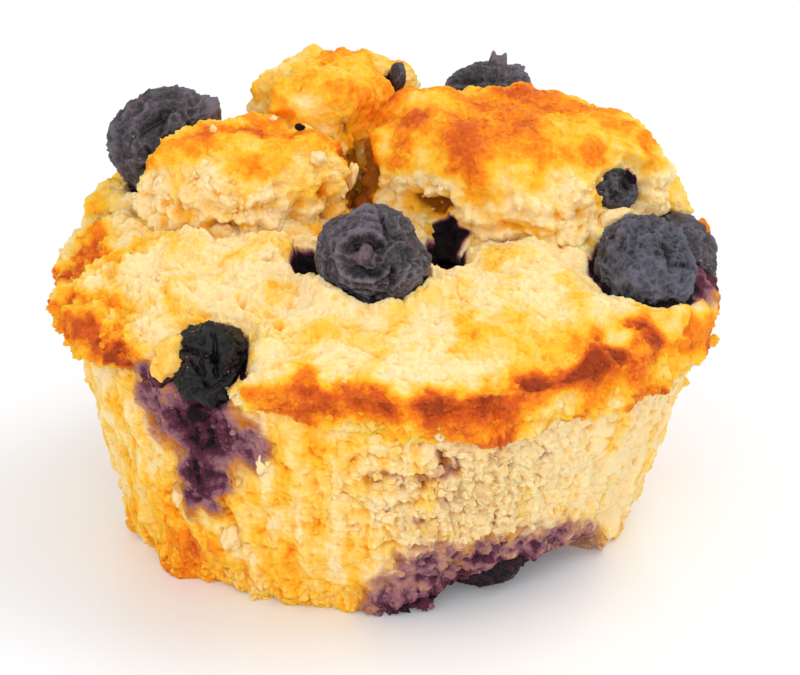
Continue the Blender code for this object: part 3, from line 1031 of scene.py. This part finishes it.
def lump_finish(points, normal, seed, looks):
    """Relief and values over a lump: browned skin above a ragged line, torn pale crumb below it."""
    rise, top, edge, blur, streaks, pockets = looks
    clumps, crumbs, dust = crumb_layers(points, 300 + seed)
    chunks = grains(bend(points, 4.0, 1.3, 305 + seed), 3.3, 306 + seed, 0.8)
    puffy = puffs(bend(points, 4.0, 0.9, 310 + seed), 4.4, 320 + seed)
    swells = clouds(points, 6.5, 330 + seed, 2)
    patches = clouds(points, 5.0, 340 + seed, 3)
    ragged = ripple(points, 2.2, 350 + seed)
    level = points[..., 2] + 2.2 * patches + 1.0 * ragged - edge
    skin = step(level, -blur, blur)
    pits = sparse_pits(points, 2.6, 360 + seed, 0.5) * (1 - 0.8 * skin)
    torn = 1.1 * (puffy - 0.45) + 1.5 * (chunks - 0.5) + 1.1 * (clumps - 0.5) + 0.2 * (crumbs - 0.45)
    smooth = 1.1 * (puffy - 0.45) + 0.3 * ragged + 0.3 * (crumbs - 0.5)
    relief = rise + skin * smooth + (1 - skin) * torn + 1.1 * swells - 0.5 * pits + 0.08 * (dust - 0.5)
    bake = 0.0 + 0.2 * step(level, -4.5, 1.0) + (top - 0.2) * step(level, -1.0, 4.0)
    bake += 0.2 * patches * (0.6 + 0.5 * skin) + 0.14 * (crumbs - 0.5) * skin
    for spot, size, amount in streaks:
        bake += amount * near(points, spot, size) * (1 + 0.8 * ragged)
    # Valleys, pits and the gaps between crumbs on the torn sides get painted shade through the hollow value.
    valley = np.maximum(step(0.42 - clumps, 0.0, 0.3), step(0.3 - chunks, 0, 0.3)) * (1 - 0.8 * skin)
    hollow = 0.8 * pits + 0.8 * valley + 0.3 * step(0.4 - crumbs, 0, 0.3) * (1 - skin)
    frayed = bend(points, 1.8, 0.7, 370 + seed)
    # Each pocket is sunk and painted with shade; all but the one by the peeking berry are also browner.
    for spot, size, depth in pockets:
        pocket = near(frayed, spot, size, 3)
        relief -= depth * pocket
        hollow += 1.0 * pocket
        bake += 0.08 * depth * pocket * (spot[0] < 24)
    bake += 0.04 * valley + 0.3 * crack_brown(points)
    moat, stain_and_shade = berry_moats(points)
    relief -= 1.2 * moat
    # Painted shadow: where those hollows reach a lump's side, it is painted near black.
    for spot, size, depth in CENTRE_HOLLOWS:
        low_part = np.stack([frayed[..., 0], frayed[..., 1], np.maximum(frayed[..., 2], spot[2])], -1)
        stain_and_shade = np.maximum(stain_and_shade, 1.2 * step(near(low_part, spot, np.array(size) * (1.05, 1.5, 0.85), 4), 0.15, 0.5))
    stain_and_shade = np.maximum(stain_and_shade, 1.1 * step(near(frayed, *PEEK_SHADOW, 3), 0.3, 0.6))
    # Painted shade: warm yellow in the hollows, deep brown in the crack and in the gap beside the middle berry.
    hollow = np.clip(hollow, 0, 1.3) + 2.0 * crack_brown(points) + 1.5 * near(frayed, *SHADED_GAP, 3)
    return relief, {"bake": bake, "stain_and_shade": stain_and_shade, "hollow": hollow}


def make_lump(name, centre, radii, height, turn, seed, tilt, cells, looks):
    """A torn block of cake as one closed grid."""
    surface = lump_surface(centre, radii, height, turn, seed, tilt)
    columns, count = cells
    rows = lump_rows(surface, count)
    angle, down = np.meshgrid(np.linspace(0, math.tau, columns, endpoint=False), rows)
    points = surface(down, angle)
    normal = facing(surface, down, angle)
    relief, values = lump_finish(points, normal, seed, looks)
    body = points + normal * relief[..., None]
    ends = [body[:1].mean(1, keepdims=True), body[-1:].mean(1, keepdims=True)]
    ends = [np.broadcast_to(end, (1, columns, 3)) for end in ends]
    grid = np.concatenate([ends[0], body, ends[1]])
    closed = {key: np.concatenate([layer[:1], layer, layer[-1:]]) for key, layer in values.items()}
    piece = make_piece(name, grid, CAKE_FINISH, closed)
    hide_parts("cake")
    return body, normal, values


lumps = {name: make_lump(name, *size, LUMP_LOOKS[name]) for name, size in PLATES.items()}

# %% [markdown]
# ## Loose crumbs
# Torn cake sheds crumbs, and they stay where they fell. Some five thousand small, angular grains lie half
# sunk in the surface: thickest on the coarse front of the cup, round the stains and on the torn lumps. Each
# takes the browning and the stain of the spot that it lies on.


# %% Crumbs
def pebbles(places, outward, sizes, seed, rows=5, columns=6):
    """Angular grains: a few-sided ball for each place, its corners moved in and out at random, its length
    along three axes picked at random, and one axis laid along the outward direction."""
    random = np.random.default_rng(seed)
    count = len(places)
    angle, down = np.meshgrid(np.linspace(0, math.tau, columns, endpoint=False), np.linspace(0, math.pi, rows))
    ball = np.stack([np.sin(down) * np.cos(angle), np.sin(down) * np.sin(angle), np.cos(down)], -1)
    reach = random.uniform(0.5, 1.25, (count, rows, columns, 1))
    reach[:, [0, -1]] = reach[:, [0, -1], :1]
    ball = ball * reach * random.uniform(0.5, 1.4, (count, 1, 1, 3)) - (0, 0, 0.3)
    side = np.cross(outward, random.normal(size=(count, 3)))
    side /= np.linalg.norm(side, axis=-1, keepdims=True)
    axes = np.stack([side, np.cross(outward, side), outward], -2)
    return places[:, None, None] + sizes[:, None, None, None] * (ball @ axes[:, None])


def strewn(surface, thickness, count, small, large, seed):
    """Places on a surface picked at random, more often where the thickness is high, with the outward
    direction there, a size for each and the finish's values."""
    points, outward, values = surface
    random = np.random.default_rng(seed)
    chance = np.cumsum(np.clip(thickness(points, values), 0, None).ravel())
    picked = np.searchsorted(chance, random.uniform(0, chance[-1], count))
    sizes = small + (large - small) * random.uniform(0, 1, count) ** 3
    looks = {key: layer.ravel()[picked] for key, layer in values.items()}
    return points.reshape(-1, 3)[picked], outward.reshape(-1, 3)[picked], sizes, looks


def on_cup(points, values):
    """Crumbs lie on the coarse front, along the foot and where juice has run."""
    coarse = near(points, (8.5, -30.0, 15.0), (12.0, 9.0, 9.0), 3)
    foot = step(3.5 - points[..., 2], 0, 3) * step(points[..., 2], -0.1, 0.3)
    return 0.06 + 1.4 * coarse + 0.7 * foot + 0.8 * step(values["stain_and_shade"], 0.2, 0.5)


def on_crown(points, values):
    """A few crumbs lie on the apron, and more along the lip."""
    radius = np.hypot(points[..., 0] - 0.5, points[..., 1])
    return (0.05 + 0.25 * step(radius, 33.5, 36.5)) * (values["stain_and_shade"] < 0.3)


def on_lump(points, values):
    """Crumbs lie mostly on the torn sides."""
    return (0.1 + step(0.3 - values["bake"], 0.0, 0.2)) * (points[..., 2] > 38.5) * (values["stain_and_shade"] < 0.3)


CRUMBS = (
    strewn(front_cup, on_cup, 2600, 0.14, 0.8, 501),
    strewn(back_cup, on_cup, 300, 0.14, 0.6, 502),
    strewn(front_crown, on_crown, 500, 0.14, 0.5, 503),
    strewn(back_crown, on_crown, 200, 0.14, 0.5, 504),
    strewn(lumps["left_plate"], on_lump, 350, 0.18, 0.6, 505),
    strewn(lumps["right_plate"], on_lump, 400, 0.18, 0.6, 506),
    strewn(lumps["middle_lump"], on_lump, 200, 0.16, 0.6, 507),
    strewn(lumps["back_lump"], on_lump, 100, 0.16, 0.6, 508),
)
places, outward, sizes = (np.concatenate([group[part] for group in CRUMBS]) for part in range(3))
crumb_grids = pebbles(places, outward, sizes, 510)
crumb_grids[..., 2] = np.maximum(crumb_grids[..., 2], 0.0)
crumb_looks = {}
for key in CRUMBS[0][3]:
    spread = np.concatenate([group[3][key] for group in CRUMBS])
    spread = spread * (0.4 if key == "hollow" else 0.85)
    crumb_looks[key] = np.broadcast_to(spread[:, None, None], crumb_grids.shape[:3])
crumbs_piece = make_piece("crumbs", crumb_grids, CRUMB_FINISH, crumb_looks, faceted=True)
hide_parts("cake")

# %% Flakes and large crumbs
FLAKES = (
    ((-19.1, -1.8, 47.0), (0.45, 0.4, 0.45), 0, -0.2, 0.0),
    ((-7.3, -5.8, 44.9), (0.95, 0.7, 0.8), 10, -0.2, 0.0),
    ((-12.5, 1.1, 47.4), (0.5, 0.4, 0.3), 0, -0.1, 0.0),
    ((-9.4, -2.0, 47.3), (0.6, 0.5, 0.4), 0, 0.3, 1.2),
    ((-22.6, -28.0, 30.2), (1.7, 1.2, 2.3), 30, 0.3, 0.0),
    ((-23.6, -27.0, 28.2), (1.3, 1.0, 1.5), 10, 0.36, 0.0),
    ((25.4, -7.4, 38.4), (2.2, 1.2, 1.1), -25, 0.1, 0.0),
    ((-23.3, -16.4, 34.6), (1.6, 1.1, 0.6), 15, 0.1, 0.0),
    ((-3.6, -2.8, 42.0), (0.6, 0.6, 1.5), 8, 0.02, 0.0),
    ((36.4, 3.0, 33.2), (0.8, 1.0, 1.5), 0, 0.66, 0.0),
    ((36.9, -6.0, 27.4), (0.7, 0.9, 1.4), 10, 0.62, 0.0),
    ((36.9, -8.0, 24.2), (0.7, 0.7, 0.7), 0, 0.42, 0.0),
    ((30.6, 5.0, 41.0), (1.6, 1.8, 1.8), 0, 0.3, 0.0),
    ((-16.6, -25.5, 7.9), (1.2, 0.8, 1.7), 20, -0.12, 0.0),
    ((-22.4, -22.0, 11.2), (0.9, 0.7, 1.3), -10, -0.06, 0.0),
    ((-12.6, -30.8, 19.1), (1.1, 0.7, 1.5), 15, -0.12, 0.0),
)


def make_flakes():
    """Larger bits, each a ball of named half lengths leaning sideways, with the cake's own puffs on it."""
    angle, down = np.meshgrid(np.linspace(0, math.tau, 28, endpoint=False), np.linspace(0, math.pi, 17))
    ball = np.stack([np.sin(down) * np.cos(angle), np.sin(down) * np.sin(angle), np.cos(down)], -1)
    place, half, lean, bake, stain_and_shade = (np.array(part, float) for part in zip(*FLAKES))
    rough = puffs(ball * 1.6 + place[:, None, None] * 5, 1.7, 520) - 0.4
    angular = ripple(ball * 1.2 + place[:, None, None] * 3, 1.0, 521)
    shape = ball * (1 + 0.45 * rough + 0.34 * angular)[..., None] * half[:, None, None]
    shape[:, [0, -1]] = shape[:, [0, -1]].mean(2, keepdims=True)
    lean = np.radians(lean)[:, None, None]
    right = shape[..., 0] * np.cos(lean) + shape[..., 2] * np.sin(lean)
    up = shape[..., 2] * np.cos(lean) - shape[..., 0] * np.sin(lean)
    grids = np.stack([right, shape[..., 1], up], -1) + place[:, None, None]
    grids[..., 2] = np.maximum(grids[..., 2], 0.0)
    spread = np.ones(grids.shape[:3])
    looks = {
        "bake": bake[:, None, None] + 0.15 * rough,
        "stain_and_shade": stain_and_shade[:, None, None] * spread,
        # Painted shade in the flakes' dents.
        "hollow": 0.5 * step(-rough, 0.0, 0.3),
    }
    piece = make_piece("flakes", grids, CRUMB_FINISH, looks)
    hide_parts("cake")


make_flakes()

# %% [markdown]
# ## The berries
# A baked blueberry shrinks: its skin wrinkles in fine ridges, folds in where it dried, and keeps a dusty
# bloom on the high parts, which also serves as a painted highlight, while its creases get painted shade. The end
# that held the flower is a shallow crater with a raised, notched rim.

# %% Berry skin finish
# The dark tones are partly painted shade in creases, and the pale bloom tones partly painted highlight on ridges.
SKIN_DARK = paint(8, 5, 7)
SKIN_MID = paint(46, 38, 43)
SKIN_BLOOM_AND_HIGHLIGHT = paint(116, 106, 118)
SLATE_MID = paint(66, 66, 76)
SLATE_BLOOM_AND_HIGHLIGHT = paint(104, 105, 122)
FLOWER_TINT = paint(112, 74, 84)
SKIN_BLACK = paint(34, 28, 28)
SKIN_WET = paint(3, 2, 2)
SKIN_WINE = paint(26, 8, 14)
# A painted highlight colour.
PAINTED_GLINT = paint(170, 168, 176)


def berry_finish(name, dark, mid, bloom_and_highlight, dusty, rough, gloss):
    """Dark skin in the creases, partly painted shade, a middle tone between, and a pale dusty coat on what stands
    up, partly a painted highlight, with a few small painted highlights."""
    skin = Finish(name)
    cloud = skin.noise(1.6, 3.0, 0.6)
    fine = skin.noise(0.32, 4.0, 0.7)
    high = skin.attribute("high")
    # Paler where the skin stands high and darker in its creases: partly real bloom, partly painted highlight and
    # painted shade.
    dust = high + (cloud - 0.5) * 0.7 + (fine - 0.5) * 0.9
    colour = skin.mix(skin.step(dust, 0.06, 0.56), dark, mid)
    colour = skin.mix(skin.step(dust, 0.4, 1.15) * dusty, colour, bloom_and_highlight)
    colour = skin.mix(skin.attribute("flower") * skin.step(dust, 0.25, 0.8) * 0.45, colour, FLOWER_TINT)
    # Small painted highlights where fine noise peaks.
    colour = skin.mix(skin.step(skin.noise(0.42, 1.0, 0.5), 0.76, 0.8), colour, PAINTED_GLINT)
    height = fine * 0.5 + skin.noise(0.8, 4.0, 0.65) * 0.5
    skin.set(
        Base_Color=colour,
        Roughness=rough + 0.15 * skin.step(dust, 0.3, 0.8),
        Normal=skin.bump(height, 0.3),
        Specular_IOR_Level=gloss,
    )
    return skin.material


DUSTY_SKIN = berry_finish("dusty_berry_skin", SKIN_DARK, SKIN_MID, SKIN_BLOOM_AND_HIGHLIGHT, 0.7, 0.36, 0.5)
BLUE_SKIN = berry_finish("blue_berry_skin", SKIN_DARK, SLATE_MID, SLATE_BLOOM_AND_HIGHLIGHT, 0.65, 0.42, 0.4)
BLACK_SKIN = berry_finish("black_berry_skin", SKIN_WET, SKIN_DARK, SKIN_BLACK, 0.3, 0.24, 0.3)
WINE_SKIN = berry_finish("wine_berry_skin", SKIN_WET, SKIN_WINE, JUICE, 0.4, 0.2, 0.2)

# %% Berry shapes
FLOWER_ANGLE = 0.52
BERRIES = {
    "berry_centre": ((-0.13, 0.05), 0.2, 0.4, 31, (340, 170), DUSTY_SKIN),
    "berry_right": ((-0.6, 0.52), 0.05, 0.45, 32, (320, 160), BLUE_SKIN),
    "berry_right_back": ((0.9, 0.1), 0.12, 0.4, 33, (220, 110), DUSTY_SKIN),
    "berry_upper_left": ((-0.6, 0.7), 0.08, 0.9, 34, (300, 150), DUSTY_SKIN),
    "berry_top_back": ((0.12, 0.98), 0.1, 0.4, 35, (240, 120), DUSTY_SKIN),
    "berry_in_right_plate": ((0.7, 0.3), 0.05, 0.3, 36, (140, 70), BLUE_SKIN),
    "berry_in_back_lump": ((0.9, 0.2), 0.0, 0.3, 37, (100, 50), DUSTY_SKIN),
    "berry_left_side": ((-0.5, -0.1), 0.06, 1.3, 38, (280, 140), BLACK_SKIN),
    "berry_bottom": ((0.1, 0.9), 0.05, 0.3, 39, (220, 110), WINE_SKIN),
}


def turned_to(direction):
    """A rotation that takes +Z to the direction in which a berry's flower end looks."""
    to = np.array(direction, float) / np.linalg.norm(direction)
    side = np.cross((0, 0, 1), to)
    side = side / max(np.linalg.norm(side), 1e-9)
    return np.stack([side, np.cross(to, side), to], -1)


def crests(points, size, seed, sharp):
    """Thin raised lines, 0 to 1, along which cloudy noise passes through 0: (1 - |noise|)^sharp."""
    return np.clip(1 - np.abs(ripple(points, size, seed)) * 1.3, 0, 1) ** sharp


def front_way(right, up):
    """The direction to a place on a ball that is that far right and up of its middle, as parts of the
    radius, for someone in front of the muffin who looks a little down."""
    toward = math.sqrt(max(1 - right**2 - up**2, 0.0))
    low, tall = math.sin(CAMERA_RISE), math.cos(CAMERA_RISE)
    return np.array([right, up * low - toward * tall, up * tall + toward * low])


BERRY_MARKS = {
    "berry_centre": (
        ((-0.5, 0.66, 0.34, 0.07), (-0.04, 0.92, 0.3, 0.12), (0.72, -0.32, 0.36, 0.1), (0.7, 0.04, 0.13, -0.08),
         (0.42, 0.68, 0.24, -0.05), (-0.32, 0.3, 0.12, -0.05), (0.12, 0.34, 0.12, -0.07)),
        ((0.1, 0.9, 0.3, 0.5, 0.05, -0.12), (0.3, 0.5, 0.62, 0.4, 0.06, -0.06),
         (0.34, 0.3, 0.38, -0.44, 0.05, -0.13), (-0.74, -0.2, -0.4, -0.62, 0.035, -0.07),
         (-0.4, -0.62, 0.2, -0.66, 0.035, -0.07), (-0.6, -0.5, -0.1, -0.86, 0.04, -0.05)),
    ),
    "berry_right": (
        ((0.5, 0.28, 0.16, -0.16), (0.7, -0.38, 0.38, 0.12), (-0.7, 0.35, 0.12, 0.11), (-0.5, 0.66, 0.12, 0.1),
         (-0.35, 0.78, 0.1, 0.09), (-0.8, 0.12, 0.12, 0.09), (-0.55, 0.45, 0.1, -0.08), (0.1, 0.1, 0.5, 0.06)),
        ((0.36, 0.6, 0.46, 0.1, 0.06, -0.08), (0.5, 0.1, 0.95, 0.0, 0.06, -0.1),
         (-0.3, 0.75, -0.75, 0.05, 0.05, -0.05), (0.2, -0.1, 0.5, -0.7, 0.05, -0.04)),
    ),
    "berry_upper_left": (
        ((0.8, 0.58, 0.24, 0.3), (0.55, 0.8, 0.2, 0.1), (-0.5, 0.7, 0.3, 0.07), (0.2, 0.3, 0.3, -0.06), (-0.5, -0.4, 0.4, -0.05)),
        ((-0.7, -0.3, 0.3, 0.6, 0.06, -0.08), (-0.3, -0.55, 0.6, 0.3, 0.05, -0.08),
         (-0.8, 0.2, 0.0, 0.85, 0.05, -0.06), (0.1, -0.6, 0.75, 0.1, 0.05, -0.06)),
    ),
    "berry_top_back": (
        ((0.18, 0.97, 0.17, 0.26), (0.3, 0.93, 0.07, 0.2), (0.06, 0.98, 0.06, 0.22), (0.2, 0.96, 0.06, -0.12),
         (0.62, 0.74, 0.24, 0.12), (-0.35, 0.9, 0.4, -0.12), (0.98, 0.0, 0.14, 0.2)),
        ((-0.8, 0.3, 0.2, 0.4, 0.06, -0.07),),
    ),
    "berry_in_right_plate": (((0.75, 0.1, 0.4, -0.3), (0.3, -0.5, 0.3, -0.12)), ((-0.2, 0.8, 0.1, -0.5, 0.1, -0.1),)),
    "berry_left_side": (
        ((-0.2, 0.5, 0.3, 0.14), (0.5, 0.1, 0.34, 0.12), (-0.3, -0.3, 0.3, -0.14), (0.3, -0.6, 0.3, 0.1),
         (0.75, 0.6, 0.4, -0.14), (-0.75, -0.5, 0.4, -0.12)),
        ((-0.7, 0.4, 0.2, 0.1, 0.07, -0.14), (0.1, 0.7, 0.2, -0.3, 0.06, -0.14),
         (-0.4, -0.7, 0.5, -0.3, 0.06, -0.12), (-0.5, 0.1, 0.0, -0.6, 0.05, -0.1)),
    ),
}


def arc_mark(ball, start, end, width):
    """1 along the arc from one direction to another on a ball, fading across it within a width."""
    across = np.cross(start, end)
    across /= np.linalg.norm(across)
    middle = (start + end) / np.linalg.norm(start + end)
    half = math.acos(float(np.clip(start @ middle, -1, 1)))
    away = np.arccos(np.clip(ball @ middle, -1, 1))
    return np.exp(-((ball @ across / width) ** 2)) * (1 - step(away, half - 0.05, half + 0.2))


def berry_marks(ball, name):
    """Bulges, dents and folds that one berry alone has, as changes of its radius."""
    change = np.zeros(ball.shape[:-1])
    bulges, folds = BERRY_MARKS.get(name, ((), ()))
    for right, up, size, amount in bulges:
        change += amount * near(ball, front_way(right, up), size)
    for right, up, right_end, up_end, width, amount in folds:
        change += amount * arc_mark(ball, front_way(right, up), front_way(right_end, up_end), width)
    return change


def berry_surface(down, angle, name, flower_way, crater, crumple, seed):
    """Unit points of a berry and how high each part of its skin stands. The radius is a sphere's, less a
    crater at the flower end with a knob in it, plus its rim, swellings, dents and raised wrinkles."""
    random = np.random.default_rng(seed)
    flower = min(crater / 0.2, 1.0)
    inner, outer = 0.62 * FLOWER_ANGLE, 0.95 * FLOWER_ANGLE
    uneven_way = down + 0.06 * np.cos(2 * angle + seed) + 0.05 * np.cos(3 * angle + 2 * seed)
    trough = step(uneven_way, 0.42 * FLOWER_ANGLE, inner) * (1 - step(down, 0.8 * FLOWER_ANGLE, outer))
    trough *= 0.65 + 0.35 * np.cos(2 * angle + 0.5 * seed)
    rim = np.exp(-(((down - 1.02 * FLOWER_ANGLE) / 0.05) ** 2))
    radius = 1 - 0.5 * crater * (1 - step(down, inner, outer)) - 0.5 * crater * trough
    radius += 0.35 * crater * rim
    for k in (2, 3, 5):
        radius += 0.03 * np.sin(down) ** 2 * np.cos(k * angle + random.uniform(0, math.tau) + 1.3 * down)
    ball = np.stack([np.sin(down) * np.cos(angle), np.sin(down) * np.sin(angle), np.cos(down)], -1)
    ball = ball @ turned_to(front_way(*flower_way)).T
    for dent in range(5):
        at = random.normal(size=3)
        at /= np.linalg.norm(at)
        radius -= random.uniform(0.02, 0.06) * near(ball, at, random.uniform(0.22, 0.45))
    marks = berry_marks(ball, name)
    spot = ball * 6 + seed * 20.0
    bent = bend(spot, 3.0, 1.3, seed)
    wide = crests(bent, 3.6, seed + 50, 4)
    narrow = crests(bent, 1.5, seed + 60, 3)
    fine = crests(bend(spot, 1.0, 0.3, seed + 5), 0.7, seed + 70, 2)
    lobes = ripple(spot, 5.0, seed + 90)
    around = np.exp(-(((down - 1.6 * FLOWER_ANGLE) / 0.28) ** 2))
    rings = around * np.cos(38 * (down - FLOWER_ANGLE) + 2.0 * ripple(bent, 3.0, seed + 80))
    calm = 1 - 0.75 * flower * (1 - step(down, FLOWER_ANGLE, 1.2 * FLOWER_ANGLE))
    facets = crumple * (0.14 * (grains(bent, 3.4, seed + 95, 0.9) - 0.5) + 0.06 * (grains(bent, 1.5, seed + 99) - 0.5))
    relief = calm * (0.05 * lobes + 0.06 * wide + 0.05 * narrow) + 0.026 * fine + marks + calm * facets
    relief += flower * 0.014 * rings
    # How high the skin stands also sets its painted highlight and painted shade: bulges paler, dents and the crater's
    # trough darker.
    high = 0.1 + 0.12 * lobes + 0.34 * wide + 0.42 * narrow + 0.36 * fine + 2.4 * marks + 1.5 * facets
    high += flower * (0.12 * rings + 0.3 * rim - 0.55 * trough)
    looks = {"high": high, "flower": flower * (1 - step(down, 0.7 * FLOWER_ANGLE, 0.9 * FLOWER_ANGLE))}
    return ball * (radius + relief)[..., None], looks


def make_berry(name, flower_way, crater, crumple, seed, cells, finish):
    """A berry as one closed grid, with its box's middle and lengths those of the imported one."""
    columns, rows = cells
    angle, down = np.meshgrid(np.linspace(0, math.tau, columns, endpoint=False), np.linspace(0, math.pi, rows))
    ball, looks = berry_surface(down, angle, name, flower_way, crater, crumple, seed)
    ball[[0, -1]] = ball[[0, -1]].mean(1, keepdims=True)
    middle, half = BERRY_BOXES[name]
    low, top = ball.min((0, 1)), ball.max((0, 1))
    grid = (ball - (low + top) / 2) / (top - low) * 2 * half + middle
    piece = make_piece(name + "_skin", grid, finish, looks)
    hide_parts(name)


for name, size in BERRIES.items():
    make_berry(name, *size)

# %% [markdown]
# ## The table
# A large plain white sheet, slightly glossy, that is not part of the object.


# %% Floor
def make_floor():
    """A flat square three metres wide under the muffin, with a soft sheen and the faintest mottle."""
    mesh = bpy.data.meshes.new("floor")
    half = 3.0
    mesh.from_pydata([(-half, -half, 0), (half, -half, 0), (half, half, 0), (-half, half, 0)], [], [(0, 1, 2, 3)])
    white = Finish("white_table")
    mottle = white.noise(60, 2.0, 0.5)
    colour = white.mix(mottle, paint(229, 232, 236), paint(232, 235, 238))
    white.set(
        Base_Color=colour,
        Roughness=0.3,
        Specular_IOR_Level=0.3,
        # The table glows faintly: painted light that lifts the shade round the muffin.
        Emission_Color=(0.97, 0.98, 1.0, 1.0),
        Emission_Strength=TABLE_GLOW,
    )
    mesh.materials.append(white.material)
    floor = bpy.data.objects.new("floor", mesh)
    bpy.context.scene.collection.objects.link(floor)


make_floor()
